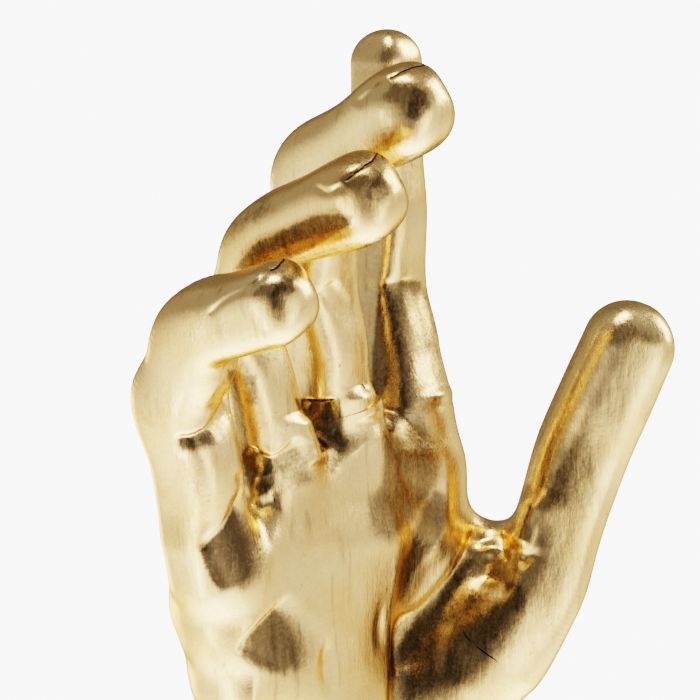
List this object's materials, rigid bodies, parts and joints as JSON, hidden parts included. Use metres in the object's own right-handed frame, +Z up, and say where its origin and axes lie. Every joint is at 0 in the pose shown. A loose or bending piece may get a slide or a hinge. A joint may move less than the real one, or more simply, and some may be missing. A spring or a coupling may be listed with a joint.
{
  "type": "hand sculpture",
  "caption": "Life-size gilded right hand standing upright on its cut forearm, palm turned to the viewer, thumb out and the lesser fingers curled forward at their tips.",
  "frame": {"origin": "middle of the underside of the felt, on the surface that the sculpture stands on", "axes": "+Z up along the forearm to the fingertips, +X to the thumb's side, -Y the way the palm faces"},
  "size_m": [0.1231, 0.0715, 0.2256],
  "materials": {
    "gilded_casting": "polished gold lacquer over a reddish-brown ground, with fine scratches, brushed streaks and hairline cracks",
    "steel": "plain zinc-plated steel of the glued rods and countersunk screws",
    "base_steel": "satin dark brown paint",
    "felt": "dense dark green felt"
  },
  "bodies": {
    "root": {"palm_casting": "gilded_casting", "little_finger": "gilded_casting", "little_finger_rod": "steel", "ring_finger": "gilded_casting", "ring_finger_rod": "steel", "middle_finger": "gilded_casting", "middle_finger_rod": "steel", "index_finger": "gilded_casting", "index_finger_rod": "steel", "thumb": "gilded_casting", "thumb_rod": "steel", "base_plate": "base_steel", "base_screw_1": "steel", "base_screw_2": "steel", "base_screw_3": "steel", "base_felt": "felt"}
  },
  "joints": []
}
